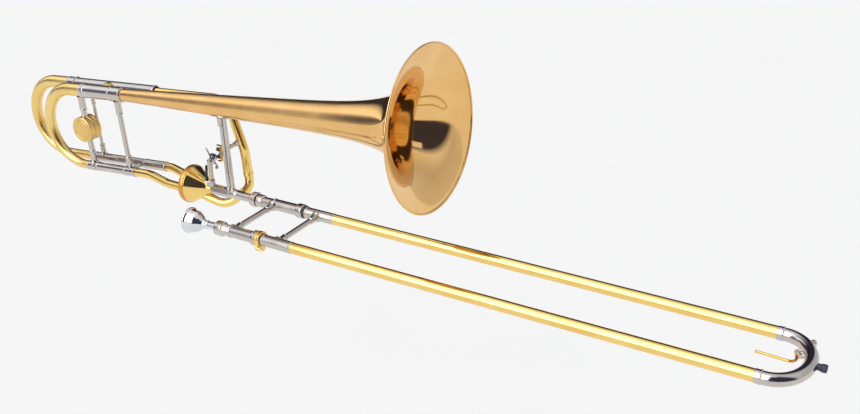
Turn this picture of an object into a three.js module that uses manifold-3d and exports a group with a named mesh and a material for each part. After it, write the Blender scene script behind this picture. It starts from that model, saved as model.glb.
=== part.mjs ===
// A large-bore tenor trombone with an F attachment on an axial-flow cone valve.
// Millimetres, +Z up, +X forward. The hand slide's upper leg and the neckpipe lie on the X axis,
// and X = 0 is the ring where the left hand's slide brace meets that leg. The player's leg, with
// the mouthpiece, runs beside it at Y = -SLIDE_WIDTH. The bell section leans up by BELL_PITCH.
import * as THREE from "three";
import { mergeVertices } from "three/addons/utils/BufferGeometryUtils.js";
import Module from "manifold-3d";

const wasm = await Module();
wasm.setup();

// ---- driving dimensions -------------------------------------------------------------------
const GAP = 0.3; // between pieces that are soldered or pushed together
const SLIDE_WIDTH = 97; // between the axes of the slide's two legs
const BELL_PITCH = THREE.MathUtils.degToRad(4.62);
const RIM = new THREE.Vector3(254.9, 0, 161.2); // centre of the bell's mouth
const RIM_RADIUS = 108;
const BELL_LENGTH = 529; // from the rim back to the ferrule
const LEG_SPACING = 124; // main tuning slide, upper leg axis to lower leg axis
const F_SPACING = 120;
const F_OFFSET = 26; // the F attachment lies this far behind the bell's plane
const OUTER_TUBE = { out: 7.65, in: 7.15 };
const INNER_TUBE = { out: 6.8, in: 6.3 };
const INNER_TUBE_END = 690;
const STOCKING = [53.3, 100];
const OUTER_TUBE_END = 702.1;
const BOW_START = 710;
const BOW_DEPTH = 39;
const UPPER_MOUTH = -607.6; // where the tuning slide's outer sleeves begin, along the bell
const LOWER_MOUTH = -615.2;
const F_MOUTH = -655.5; // and the F slide's upper one
const ROUND = 16; // sides of a tube
const FINE = 20; // sides of the hand slide's tubes
const THIN = 12; // sides of a brace or a small pin
const BELL_SIDES = 32;

// ---- finishes -----------------------------------------------------------------------------
const finish = (color, roughness, metalness = 1) => () =>
  new THREE.MeshStandardMaterial({ color, roughness, metalness });
const YELLOW_BRASS = finish("#d9b258", 0.2);
const GOLD_BRASS = finish("#cf9a55", 0.22);
const NICKEL = finish("#b4b0ae", 0.2);
const CHROME = finish("#c3c7cf", 0.1);
const COPPER = finish("#c9853f", 0.25);
const SILVER = finish("#d3d4d8", 0.15);
const RUBBER = finish("#232a36", 0.7, 0);
const CORK = finish("#a98055", 0.9, 0);

// ---- building helpers ---------------------------------------------------------------------
const part = new THREE.Group();
const up = new THREE.Vector3(0, 0, 1);
const forward = new THREE.Vector3(1, 0, 0);
const sideways = new THREE.Vector3(0, 1, 0);
const bellForward = new THREE.Vector3(Math.cos(BELL_PITCH), 0, Math.sin(BELL_PITCH));
const bellUp = new THREE.Vector3(-Math.sin(BELL_PITCH), 0, Math.cos(BELL_PITCH));
const at = (x, y, z) => new THREE.Vector3(x, y, z);
// A place in the bell section: along the bell's axis from the rim, above it, and to its left.
const bellAt = (along, above, left = 0) =>
  RIM.clone()
    .addScaledVector(bellForward, along)
    .addScaledVector(bellUp, above)
    .addScaledVector(sideways, left);

function add(name, geometry, makeMaterial) {
  const mesh = new THREE.Mesh(geometry, makeMaterial());
  mesh.name = name;
  part.add(mesh);
  return mesh;
}

// Keeps only the shape, welded, with its faces pointing out.
function welded(geometry) {
  const bare = new THREE.BufferGeometry();
  bare.setAttribute("position", geometry.getAttribute("position"));
  if (geometry.index) bare.setIndex(geometry.index);
  const closed = mergeVertices(bare, 1e-4);
  const p = closed.getAttribute("position");
  const index = Array.from(closed.index.array);
  const kept = [];
  let volume = 0;
  const [a, b, c] = [at(0, 0, 0), at(0, 0, 0), at(0, 0, 0)];
  for (let i = 0; i < index.length; i += 3) {
    const [i0, i1, i2] = index.slice(i, i + 3);
    if (i0 === i1 || i1 === i2 || i2 === i0) continue;
    kept.push(i0, i1, i2);
    volume += a.fromBufferAttribute(p, i0)
      .dot(b.fromBufferAttribute(p, i1).cross(c.fromBufferAttribute(p, i2)));
  }
  if (volume < 0) kept.reverse();
  closed.setIndex(kept);
  return closed;
}

function solid(geometry) {
  const g = welded(geometry);
  return new wasm.Manifold(new wasm.Mesh({
    numProp: 3,
    vertProperties: new Float32Array(g.getAttribute("position").array),
    triVerts: new Uint32Array(g.index.array),
  }));
}

function geometryOf(manifold) {
  const made = manifold.getMesh();
  const g = new THREE.BufferGeometry();
  g.setAttribute("position", new THREE.BufferAttribute(made.vertProperties, 3));
  g.setIndex(new THREE.BufferAttribute(made.triVerts, 1));
  return g;
}

const joined = (...pieces) => geometryOf(pieces.map(solid).reduce((all, one) => all.add(one)));
const cut = (piece, ...tools) =>
  geometryOf(tools.map(solid).reduce((left, tool) => left.subtract(tool), solid(piece)));

// Turns a lathe profile of [along, radius] pairs about a line from origin.
function turned(profile, origin, direction, sides = ROUND) {
  const outline = profile.map(([along, radius]) => new THREE.Vector2(radius, along));
  const g = new THREE.LatheGeometry(outline, sides);
  const turn = new THREE.Quaternion().setFromUnitVectors(sideways, direction.clone().normalize());
  g.applyQuaternion(turn);
  g.translate(origin.x, origin.y, origin.z);
  return welded(g);
}

// A hollow turned piece from [along, radius] steps on the outside and one bore.
function sleeve(steps, bore, origin, direction, sides = ROUND) {
  const first = steps[0];
  const last = steps[steps.length - 1];
  const loop = [...steps, [last[0], bore], [first[0], bore], first];
  return turned(loop, origin, direction, sides);
}

// A solid turned piece from [along, radius] steps.
function rod(steps, origin, direction, sides = THIN) {
  const first = steps[0];
  const last = steps[steps.length - 1];
  return turned([[first[0], 0], ...steps, [last[0], 0]], origin, direction, sides);
}

// A tube carried along a line of places; radii may change from its start to its end.
function pipe(places, outer, inner, sides = ROUND) {
  const count = places.length - 1;
  const radius = (r, i) => (Array.isArray(r) ? r[0] + ((r[1] - r[0]) * i) / count : r);
  const rings = [...places.keys()];
  const outline = rings.map((i) => new THREE.Vector2(radius(outer, i), i));
  const bore = rings.reverse().map((i) => new THREE.Vector2(inner ? radius(inner, i) : 0, i));
  const ends = inner ? bore : [new THREE.Vector2(0, count)];
  const loop = inner ? [...outline, ...ends, outline[0].clone()]
    : [new THREE.Vector2(0, 0), ...outline, ...ends];
  const g = new THREE.LatheGeometry(loop, sides);
  const frames = framesAlong(places);
  const p = g.getAttribute("position");
  for (let i = 0; i < p.count; i++) {
    const f = frames[Math.round(p.getY(i))];
    const moved = f.place.clone()
      .addScaledVector(f.normal, p.getX(i))
      .addScaledVector(f.binormal, p.getZ(i));
    p.setXYZ(i, moved.x, moved.y, moved.z);
  }
  return welded(g);
}

// Rings stand square to the line, and turn as little as they can from one to the next.
function framesAlong(places) {
  const last = places.length - 1;
  const tangents = places.map((_, i) => places[Math.min(i + 1, last)].clone()
    .sub(places[Math.max(i - 1, 0)]).normalize());
  const start = Math.abs(tangents[0].y) > 0.9 ? forward : sideways;
  let normal = start.clone().addScaledVector(tangents[0], -start.dot(tangents[0])).normalize();
  return places.map((place, i) => {
    const t = tangents[i];
    normal = normal.clone().addScaledVector(t, -normal.dot(t)).normalize();
    return { place, normal, binormal: t.clone().cross(normal) };
  });
}

// Straight runs between corners, each corner rounded to a radius in a few steps.
function route(corners, radii, steps = 6) {
  const line = [corners[0]];
  for (let i = 1; i < corners.length - 1; i++) {
    const into = corners[i].clone().sub(corners[i - 1]).normalize();
    const out = corners[i + 1].clone().sub(corners[i]).normalize();
    const angle = into.angleTo(out);
    const radius = radii[i - 1];
    const start = corners[i].clone().addScaledVector(into, -radius * Math.tan(angle / 2));
    const inward = out.clone().addScaledVector(into, -out.dot(into)).normalize();
    for (let k = 0; k <= steps; k++) {
      const a = (angle * k) / steps;
      line.push(start.clone()
        .addScaledVector(into, radius * Math.sin(a))
        .addScaledVector(inward, radius * (1 - Math.cos(a))));
    }
  }
  line.push(corners[corners.length - 1]);
  return line;
}

const box = (x, y, z, centre) => {
  const g = new THREE.BoxGeometry(x, y, z);
  return g.translate(centre.x, centre.y, centre.z);
};

// ---- bell ---------------------------------------------------------------------------------
// A nearly straight tail, and two exponential flares that open it to the rim.
const TAIL_RADIUS = 9.4;
const TAIL_SLOPE = 0.033;
const WIDE_FLARE = { size: 60, reach: 40 };
const EDGE_FLARE = {
  size: RIM_RADIUS - TAIL_RADIUS - TAIL_SLOPE * BELL_LENGTH - WIDE_FLARE.size,
  reach: 9,
};
const BELL_WALL = 1.1;
const BEAD = 2;

function bellRadius(back) {
  return TAIL_RADIUS + TAIL_SLOPE * (BELL_LENGTH - back)
    + WIDE_FLARE.size * Math.exp(-back / WIDE_FLARE.reach)
    + EDGE_FLARE.size * Math.exp(-back / EDGE_FLARE.reach);
}

function bellGeometry() {
  const stations = [BELL_LENGTH, 400, 290, 215, 160, 120, 90, 66, 47, 32, 21, 13, 7.5, 3.5, 1.6];
  const outside = stations.map((back) => [-back, bellRadius(back)]);
  const inside = stations.map((back) => {
    const slope = (bellRadius(back - 0.1) - bellRadius(back + 0.1)) / 0.2;
    const length = Math.hypot(slope, 1);
    return [-back + (BELL_WALL * slope) / length, bellRadius(back) - BELL_WALL / length];
  });
  inside[0][0] = outside[0][0];
  const rim = [[-1, RIM_RADIUS], [0.4, RIM_RADIUS + BEAD / 2], [BEAD, RIM_RADIUS - 0.4],
    [BEAD - 0.3, RIM_RADIUS - BEAD]];
  return turned([...outside, ...rim, ...inside.reverse(), outside[0]], RIM, bellForward, BELL_SIDES);
}
add("bell", bellGeometry(), GOLD_BRASS);

// ---- main tuning slide: the outer sleeves, fixed ---------------------------------------------
const UPPER = bellAt(0, 0); // origin of anything turned about the upper leg
const LOWER = bellAt(0, -LEG_SPACING);
const F_UPPER = bellAt(0, 0, F_OFFSET);
const F_LOWER = bellAt(0, -F_SPACING, F_OFFSET);
const onBell = (steps, bore, origin, sides) => sleeve(steps, bore, origin, bellForward, sides);

const FERRULE_BACK = -553.7;
const FERRULE_FRONT = -BELL_LENGTH - GAP;
add("bell_ferrule", onBell([[FERRULE_BACK, 11.2], [FERRULE_FRONT, 11]], 8.6, UPPER), NICKEL);
add("upper_tuning_sleeve",
  onBell([[UPPER_MOUTH, 10.9], [FERRULE_BACK - GAP, 10.9]], 10, UPPER), NICKEL);
add("lower_tuning_sleeve",
  onBell([[LOWER_MOUTH, 7], [-556, 7], [-556, 7.5], [-533.3, 7.5]], 6.3, LOWER), NICKEL);

// ---- main tuning slide: the part that pulls out ----------------------------------------------
const CROOK_CENTRE = -641;
const CROOK_STEPS = 12;

// The half circle of a crook, from its upper leg down to its lower leg.
function crookLine(upperEnd, lowerEnd, centre, spacing, left) {
  const radius = spacing / 2;
  const line = [bellAt(upperEnd, 0, left)];
  for (let k = 0; k <= CROOK_STEPS; k++) {
    const a = (Math.PI * k) / CROOK_STEPS;
    line.push(bellAt(centre - radius * Math.sin(a), -radius + radius * Math.cos(a), left));
  }
  line.push(bellAt(lowerEnd, -spacing, left));
  return line;
}

add("main_crook",
  pipe(crookLine(-614, -634.8, CROOK_CENTRE, LEG_SPACING, 0), [10.2, 6.8], [9.2, 6]), YELLOW_BRASS);
add("main_upper_leg",
  onBell([[-613.7, 11.6], [UPPER_MOUTH - GAP, 11.6], [UPPER_MOUTH - GAP, 9.5], [-562, 9.5]],
    8.8, UPPER), NICKEL);
add("main_lower_leg",
  onBell([[-634.5, 7.5], [LOWER_MOUTH - GAP, 7.5], [LOWER_MOUTH - GAP, 5.8], [-568, 5.8]],
    5.2, LOWER), NICKEL);

const BRACE_A = -622;
const braceTop = -10.7;
const braceFoot = -LEG_SPACING + 7.9;
add("tuning_slide_brace", rod([[braceTop, 5.4], [-32, 5.2], [-32, 4.1], [-90, 4.1],
  [-90, 4.5], [braceFoot + 3, 4.6], [braceFoot, 5.4]].map(([z, r]) => [-z, r]),
bellAt(BRACE_A, 0), bellUp.clone().negate()), NICKEL);

const WEIGHT = { above: -61, radius: 20, front: -11.5, back: 10.5 };
function counterweightGeometry() {
  const drum = rod([[WEIGHT.front, 19], [WEIGHT.front + 1, WEIGHT.radius],
    [WEIGHT.back - 1, WEIGHT.radius], [WEIGHT.back, 19]],
  bellAt(BRACE_A, WEIGHT.above), sideways, 28);
  const hole = rod([[-30, 4.5], [30, 4.5]], bellAt(BRACE_A, WEIGHT.above), bellUp, THIN);
  return cut(drum, hole);
}
add("counterweight", counterweightGeometry(), YELLOW_BRASS);

// ---- F attachment tuning slide ---------------------------------------------------------------
const F_CENTRE = -703.5;
const F_LOWER_MOUTH = -645.4;
add("f_crook", pipe(crookLine(-670.3, -652.2, F_CENTRE, F_SPACING, F_OFFSET), [9.7, 6.9], [8.9, 6.1]),
  YELLOW_BRASS);
add("f_upper_leg",
  onBell([[-670, 10.4], [F_MOUTH - GAP, 10.4], [F_MOUTH - GAP, 8.4], [-600, 8.4]], 7.8, F_UPPER),
  NICKEL);
add("f_lower_leg",
  onBell([[-651.9, 7.4], [F_LOWER_MOUTH - GAP, 7.4], [F_LOWER_MOUTH - GAP, 5.9], [-600, 5.9]],
    5.3, F_LOWER), NICKEL);
add("f_upper_sleeve", onBell([[F_MOUTH, 10.8], [-652.5, 10.8], [-652.5, 9.6], [-495, 9.6],
  [-487.5, 9.4]], 8.9, F_UPPER), NICKEL);
add("f_lower_sleeve", onBell([[F_LOWER_MOUTH, 7.2], [-537.5, 7.2], [-537.5, 7.7], [-493, 7.7]],
  6.4, F_LOWER), NICKEL);

// The thin brace between the F sleeves.
const F_BRACE = -627;
add("f_brace", rod([[10.1, 3], [30, 2.6], [98, 2.2], [98, 4.4], [F_SPACING - 7.6, 4.6]],
  bellAt(F_BRACE, 0, F_OFFSET), bellUp.clone().negate(), 10), NICKEL);

// Short spacers tie the F slide's sleeves to the main ones.
add("upper_leg_spacer", rod([[11.3, 5.5], [13.5, 5.5], [13.5, 3.6], [16.1, 3.6]],
  bellAt(-574, 6), sideways), YELLOW_BRASS);
add("lower_leg_spacer", rod([[7.9, 3.4], [18.4, 3.4]], bellAt(-546, -LEG_SPACING),
  at(0, F_OFFSET, 0).addScaledVector(bellUp, LEG_SPACING - F_SPACING)), NICKEL);

// ---- brace between the bell's ferrule and the lower leg --------------------------------------
const BRACE_B = -545;
add("bell_section_brace", rod([[11.6, 4.9], [31, 4.7], [31, 3.7], [100, 3.7], [100, 5.3],
  [110, 5.3], [LEG_SPACING - 7.9, 3.2]], bellAt(BRACE_B, 0), bellUp.clone().negate()), NICKEL);

// ---- valve -----------------------------------------------------------------------------------
const VALVE_BACK = -158;
const VALVE_RING = 7.6;
const CONE = { wide: 27.6, narrow: 9.4, start: VALVE_BACK + VALVE_RING + GAP, end: -121 };
const VALVE_WALL = 1.5;
const MAIN_PORT = { left: -4, above: -9 };
const F_PORT = { left: 13, above: 4 };
const PORT_RADIUS = 6.6;

add("valve_ring", sleeve([[VALVE_BACK, 27.8], [VALVE_BACK + 1.5, 28.6],
  [VALVE_BACK + VALVE_RING, 28.6]], 26.2, at(0, 0, 0), forward, 28), COPPER);
add("valve_casing", turned([[CONE.start, CONE.wide], [CONE.end, CONE.narrow],
  [CONE.end, CONE.narrow - VALVE_WALL], [CONE.start, CONE.wide - VALVE_WALL],
  [CONE.start, CONE.wide]], at(0, 0, 0), forward, 28), YELLOW_BRASS);

function backPlate() {
  const plate = rod([[VALVE_BACK, 25.8], [VALVE_BACK + 2.5, 25.8]], at(0, 0, 0), forward, 28);
  const bores = [MAIN_PORT, F_PORT].map((port) =>
    rod([[VALVE_BACK - 1, 5.4], [VALVE_BACK + 4, 5.4]], at(0, port.left, port.above), forward));
  return cut(plate, ...bores);
}
add("valve_back_plate", backPlate(), COPPER);

// The rotor: a cone with a passage through it, which turns inside the casing.
function rotorGeometry() {
  const slope = (CONE.wide - CONE.narrow) / (CONE.end - CONE.start);
  const reach = (x) => CONE.wide - VALVE_WALL - 0.9 - slope * (x - CONE.start);
  const [back, front] = [VALVE_BACK + 3.2, CONE.end - 0.5];
  const body = rod([[back, Math.min(reach(back), 25.2)], [CONE.start, reach(CONE.start)],
    [front, reach(front)]], at(0, 0, 0), forward, 24);
  const passage = pipe([at(back - 2, MAIN_PORT.left, MAIN_PORT.above),
    at(-138, -2, -5), at(front + 2, 0, 0)], 5, 0, THIN);
  return cut(body, passage);
}
add("valve_rotor", rotorGeometry(), NICKEL);

// ---- tubes between the tuning slides and the valve -------------------------------------------
const VALVE_TUBE = { out: 6.7, in: 5.9 };
add("gooseneck", pipe(route([bellAt(-533, -LEG_SPACING), bellAt(-505, -LEG_SPACING),
  at(-200, -4, -8.6), at(VALVE_BACK - GAP, MAIN_PORT.left, MAIN_PORT.above)], [90, 70], 4),
VALVE_TUBE.out, VALVE_TUBE.in), YELLOW_BRASS);
add("f_lower_tube", pipe(route([bellAt(-492.7, -F_SPACING, F_OFFSET),
  bellAt(-483, -F_SPACING, F_OFFSET), at(-178, F_PORT.left, F_PORT.above),
  at(VALVE_BACK - GAP, F_PORT.left, F_PORT.above)], [40, 30], 4),
VALVE_TUBE.out, VALVE_TUBE.in), YELLOW_BRASS);

// From the F slide's upper sleeve along the bell's far side, and down behind the grip.
const F_DROP = -333;
const F_BREAK = -108;
add("f_long_tube", pipe(route([bellAt(-487.2, 0, F_OFFSET), bellAt(-352, 0, F_OFFSET),
  bellAt(F_DROP, -75, F_OFFSET), bellAt(F_DROP, F_BREAK, F_OFFSET)], [32, 60], 6),
7, 6.2), YELLOW_BRASS);

// Under the neckpipe and back into the narrow end of the valve.
function returnBend() {
  const bend = pipe(route([bellAt(F_DROP, F_BREAK - GAP, F_OFFSET),
    bellAt(F_DROP, -132.6, F_OFFSET), at(-97, 5, -25.5), at(-134, 0, -14.5)], [22, 28], 6), 6.7, 5.9);
  const collar = rod([[0, 7.6], [6, 7.6]], bellAt(F_DROP, F_BREAK - GAP, F_OFFSET),
    bellUp.clone().negate(), ROUND);
  const bore = rod([[-1, 6.4], [7, 6.4]], bellAt(F_DROP, F_BREAK - GAP, F_OFFSET),
    bellUp.clone().negate(), ROUND);
  const seat = rod([[CONE.start - 9, CONE.wide + 6], [CONE.end + 1, CONE.narrow + 0.4]],
    at(0, 0, 0), forward, 28);
  return geometryOf(solid(collar).subtract(solid(bore)).add(solid(bend)).subtract(solid(seat)));
}
add("f_return_bend", returnBend(), YELLOW_BRASS);

// ---- neckpipe and the braces of the left hand's grip -----------------------------------------
const NECK = { out: 6.6, in: 5.9 };
const GRIP_X = -84.5; // where the brace tubes stand on the neckpipe
add("neckpipe", sleeve([[CONE.end + GAP, NECK.out - 0.4], [GRIP_X - 9, NECK.out - 0.4],
  [GRIP_X - 9, 7.8], [GRIP_X + 11, 7.8], [GRIP_X + 11, NECK.out], [-31.6, NECK.out]],
NECK.in, at(0, 0, 0), forward), NICKEL);

const GRIP_ALONG = -344.4; // the same place, along the bell
const gripTop = bellRadius(-GRIP_ALONG);
const GRIP_LEAN = 0.035; // forward, for each millimetre down
const down = at(GRIP_LEAN, 0, -1).normalize();
const gripLine = (forwards) => bellAt(GRIP_ALONG, 0).add(at(forwards, 0, 0));
const GRIP_LENGTH = bellAt(GRIP_ALONG, 0).z - 8.2; // from the bell's axis to the neckpipe
const SECOND_TUBE = 7; // ahead of the first
add("bell_brace_socket", rod([[gripTop + 0.7, 5.4], [gripTop + 2.5, 4.2], [gripTop + 12, 4.2],
  [gripTop + 15, 3.8]], gripLine(-0.9), down), NICKEL);
add("bell_brace_tube", rod([[gripTop + 15.4, 3.1], [GRIP_LENGTH, 3.1]], gripLine(0), down), NICKEL);
add("second_brace_tube", rod([[gripTop + 0.8, 2.9], [GRIP_LENGTH, 2.9]], gripLine(SECOND_TUBE), down),
  NICKEL);

// A short post from the second tube to the F tube behind it.
const SIDE_POST = at(-78.6, 0, 71.5);
add("side_brace", rod([[3.3, 3], [7, 3], [7, 2.4], [12, 2.4], [12, 3.6], [17, 4]],
  SIDE_POST, sideways), NICKEL);

// ---- thumb lever -----------------------------------------------------------------------------
const POST = at(-113.7, -3, 0);
const BALL = at(-100.4, -6.4, 58);
const PADDLE = at(-121, 8, 44.5);
add("lever_post", rod([[8.7, 5.2], [16, 5.2], [16, 2.1], [46.6, 2.1], [46.6, 2.4], [48, 2.4]],
  POST, up), NICKEL);
function thumbLever() {
  const barrel = sleeve([[16.4, 3.8], [46.2, 3.8]], 2.5, POST, up, THIN);
  const arm = pipe([POST.clone().setZ(42).add(at(4.4, 0, 0)), BALL.clone().add(at(-4, 1, -4)),
    BALL.clone().add(at(0, 2.4, 0))], 1.7, 0, 8);
  const paddle = new THREE.BoxGeometry(31, 16, 1.8);
  const lengthwise = at(20, 0, -26).normalize();
  const face = at(0.54, 0.73, 0.416);
  const across = face.clone().cross(lengthwise).normalize();
  const turn = new THREE.Matrix4().makeBasis(lengthwise, across, lengthwise.clone().cross(across));
  paddle.applyMatrix4(turn).translate(PADDLE.x, PADDLE.y, PADDLE.z);
  const bridge = pipe([POST.clone().setZ(38).add(at(-1, 4.4, 0)), PADDLE.clone().add(at(2, -3, -5)),
    PADDLE], 1.8, 0, 8);
  return joined(barrel, arm, paddle, bridge);
}
add("thumb_lever", thumbLever(), NICKEL);
add("ball_joint", rod([[-5.4, 3], [-2.2, 3]], BALL, sideways), RUBBER);
add("lever_spring", rod([[15, 1.6], [37, 1.6]], at(-123.6, -3, 0), up, 10), RUBBER);

// The brass bracket on the grip tube, which holds the two stop bumpers.
const STOP = at(-93.4, 0, 60);
function stopBracket() {
  const spine = box(1.6, 6, 24, STOP);
  const tabs = [-1, 1].map((side) => box(7, 6, 1.4, at(STOP.x - 2.6, STOP.y, STOP.z + side * 11.3)));
  const boss = box(3, 4, 6, at(STOP.x + 2.2, STOP.y, STOP.z));
  return joined(spine, ...tabs, boss);
}
add("stop_bracket", stopBracket(), YELLOW_BRASS);
add("stop_bumper_upper", rod([[-6.4, 3], [-1.1, 3]], at(STOP.x, STOP.y, STOP.z + 5.6), forward), RUBBER);
add("stop_bumper_lower", rod([[-6.4, 3], [-1.1, 3]], at(STOP.x, STOP.y, STOP.z - 5.6), forward), RUBBER);

// ---- lock nut and the inner slide ------------------------------------------------------------
const FRONT_LEG = at(0, -SLIDE_WIDTH, 0);
const REAR_LEG = at(0, 0, 0);
add("lock_nut", sleeve([[-42.8, 9.2], [-41.2, 10.8], [-33, 11], [-31.4, 10.4]], 7.2,
  REAR_LEG, forward), NICKEL);
add("slide_receiver", sleeve([[-30.9, 9], [-21, 9], [-21, 7.2], [-1.8, 7.2], [-1.8, 8.8],
  [1.5, 8.8]], 6, REAR_LEG, forward), NICKEL);
add("mouthpiece_receiver", sleeve([[-25.8, 8.8], [-24.2, 10.2], [-13, 10.2], [-13, 8.4], [-1.8, 7.6],
  [-1.8, 9], [1.5, 9]], 6.6, FRONT_LEG, forward), NICKEL);

const BARREL = 8.3;
const BARREL_BORE = 7.4;
add("cork_barrel_rear", sleeve([[1.8, BARREL], [41, BARREL], [41, 10.2], [50, 10.2]],
  BARREL_BORE, REAR_LEG, forward), NICKEL);
add("cork_barrel_front", sleeve([[1.8, BARREL], [38.8, BARREL], [38.8, 10.6], [43.6, 10.6],
  [43.6, 8.6], [52.9, 8.6]], BARREL_BORE, FRONT_LEG, forward), NICKEL);
for (const [name, leg] of [["inner_tube_rear", REAR_LEG], ["inner_tube_front", FRONT_LEG]]) {
  add(name, sleeve([[1.9, INNER_TUBE.out], [INNER_TUBE_END, INNER_TUBE.out]], INNER_TUBE.in,
    leg, forward, FINE), CHROME);
}

// A brace across the slide, from the front leg's tube to the rear leg's.
function crossBrace(name, x, radius, tube) {
  const [from, to] = [tube + 0.4, SLIDE_WIDTH - tube - 0.4];
  add(name, rod([[from, 6], [from + 2, 5], [from + 12, radius + 0.9], [from + 12, radius],
    [to - 12, radius], [to - 12, radius + 0.9], [to - 2, 5], [to, 6]],
  at(x, -SLIDE_WIDTH, 0), sideways), NICKEL);
}
crossBrace("slide_brace", -1.5, 3.7, 9);

function lockRing() {
  const ring = sleeve([[44, 11.3], [52.4, 11.3]], 9, FRONT_LEG, forward);
  const catchPin = rod([[52, 1.7], [62, 1.7]], at(0, -SLIDE_WIDTH - 5.5, -9), forward, 10);
  const lug = box(7, 5, 4, at(49, -SLIDE_WIDTH - 5.5, -10.4));
  return joined(ring, catchPin, lug);
}
add("slide_lock_ring", lockRing(), YELLOW_BRASS);

// ---- mouthpiece ------------------------------------------------------------------------------
// Rim, cup outside, and shank; then back through the bore and up the inside of the cup.
add("mouthpiece", turned([[-74, 14.8], [-75.2, 16.6], [-74.4, 18], [-71.4, 18.2], [-68.4, 16.6],
  [-65, 15.6], [-58, 13], [-52.4, 9.2], [-47.6, 6.2], [-44, 5.4], [-26.4, 5.9], [-4, 5.4],
  [-4, 4.4], [-44, 3.4], [-53, 3.2], [-58.6, 6.6], [-64.6, 10.6], [-70.4, 12.4], [-74, 14.8]],
FRONT_LEG, forward, 24), SILVER);

// ---- outer slide -----------------------------------------------------------------------------
const legs = [["rear", REAR_LEG], ["front", FRONT_LEG]];
for (const [side, leg] of legs) {
  add("stocking_" + side, sleeve([[STOCKING[0], 8.8], [STOCKING[0] + 2.5, 8.8],
    [STOCKING[0] + 2.5, 8], [STOCKING[1], 8]], OUTER_TUBE.in, leg, forward, FINE), NICKEL);
  add("outer_tube_" + side, sleeve([[STOCKING[1] + GAP, OUTER_TUBE.out],
    [OUTER_TUBE_END, OUTER_TUBE.out]], OUTER_TUBE.in, leg, forward, FINE), YELLOW_BRASS);
  add("bow_ferrule_" + side, sleeve([[OUTER_TUBE_END + GAP, 8.2], [BOW_START - 2, 8.2],
    [BOW_START - 2, 8.7], [BOW_START - GAP, 8.7]], 7.1, leg, forward, FINE), NICKEL);
}
crossBrace("hand_brace", 73.5, 3.5, 8.1);

const BOW_TUBE = { out: 7.8, in: 7.1 };
const BOW_STEPS = 14;
const BOW_EASE = 1.5; // straight run before the bend
const OUTSIDE = BOW_TUBE.out;
const bowAt = (a) => at(BOW_START + BOW_EASE + (BOW_DEPTH - BOW_EASE) * Math.sin(a),
  -SLIDE_WIDTH / 2 + (SLIDE_WIDTH / 2) * Math.cos(a), 0);
function bowLine() {
  const bend = [...Array(BOW_STEPS + 1).keys()].map((k) => bowAt((Math.PI * k) / BOW_STEPS));
  return [at(BOW_START, 0, 0), ...bend, at(BOW_START, -SLIDE_WIDTH, 0)];
}
add("slide_bow", pipe(bowLine(), BOW_TUBE.out, BOW_TUBE.in), NICKEL);

const BOW_TIP = BOW_START + BOW_DEPTH + BOW_TUBE.out + GAP;
add("bow_bumper", rod([[BOW_TIP, 4], [BOW_TIP + 2.8, 4], [BOW_TIP + 3.6, 4.9],
  [BOW_TIP + 8.6, 4.9], [BOW_TIP + 9.4, 4.2]], at(0, -SLIDE_WIDTH / 2, 0), forward), RUBBER);

// ---- water key -------------------------------------------------------------------------------
const KEY_AXIS = at(-0.585, 0.811, 0).normalize();
const KEY_PIVOT = at(731.8, -26.2, -4.6);
const NIPPLE = THREE.MathUtils.degToRad(38); // round the bow from its rear leg
const nippleOut = at(Math.sin(NIPPLE) / BOW_DEPTH, (2 * Math.cos(NIPPLE)) / SLIDE_WIDTH, 0).normalize();
const nippleAt = (out) => bowAt(NIPPLE).addScaledVector(nippleOut, out);
function keySaddle() {
  const posts = [-1, 1].map((side) => rod([[side * 4.6 - 0.8, 2.6], [side * 4.6 + 0.8, 2.6]],
    KEY_PIVOT, KEY_AXIS));
  const pin = rod([[-6, 1], [6, 1]], KEY_PIVOT, KEY_AXIS, 8);
  return joined(...posts, pin);
}
add("water_key_saddle", keySaddle(), NICKEL);
function keyLever() {
  const hub = sleeve([[-3.4, 2.6], [3.4, 2.6]], 1.5, KEY_PIVOT, KEY_AXIS, 12);
  const touch = pipe(route([at(690, -48.5, -1), at(730.6, -50, -1.6), at(732.6, -40, -3.4),
    KEY_PIVOT.clone().add(at(-2.2, -1.2, -1))], [6, 5], 3), 1.6, 0, 8);
  const under = -OUTSIDE - 3;
  const hook = pipe([KEY_PIVOT.clone().add(at(1, 1, -1.9)), at(736.5, -20, under),
    nippleAt(12.4).setZ(under), nippleAt(13.4).setZ(under + 2), nippleAt(13.4).setZ(1)], 1.5, 0, 8);
  const cup = rod([[OUTSIDE + 1.9, 3.3], [OUTSIDE + 5.4, 3.3]], bowAt(NIPPLE), nippleOut);
  return joined(hub, touch, hook, cup);
}
add("water_key_lever", keyLever(), YELLOW_BRASS);
add("water_key_cork", rod([[OUTSIDE + 0.3, 2.8], [OUTSIDE + 1.6, 2.8]], bowAt(NIPPLE), nippleOut), CORK);

export default part;
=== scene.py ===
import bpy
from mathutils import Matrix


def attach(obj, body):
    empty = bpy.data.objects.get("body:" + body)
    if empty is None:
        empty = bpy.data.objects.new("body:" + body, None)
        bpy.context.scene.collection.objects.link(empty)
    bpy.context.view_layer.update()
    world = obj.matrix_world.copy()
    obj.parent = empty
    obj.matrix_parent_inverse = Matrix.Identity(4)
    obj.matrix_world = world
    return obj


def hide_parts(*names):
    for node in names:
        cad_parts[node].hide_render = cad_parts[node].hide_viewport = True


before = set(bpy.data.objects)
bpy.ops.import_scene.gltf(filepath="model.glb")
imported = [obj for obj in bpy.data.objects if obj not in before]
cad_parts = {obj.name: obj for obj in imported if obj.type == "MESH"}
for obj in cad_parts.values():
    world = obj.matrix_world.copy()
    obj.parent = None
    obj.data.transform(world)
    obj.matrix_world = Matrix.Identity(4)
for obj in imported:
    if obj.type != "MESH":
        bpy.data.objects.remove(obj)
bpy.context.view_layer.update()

import math

import bpy
from mathutils import Matrix, Vector

scene = bpy.context.scene
scene.view_settings.view_transform = "Standard"

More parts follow.
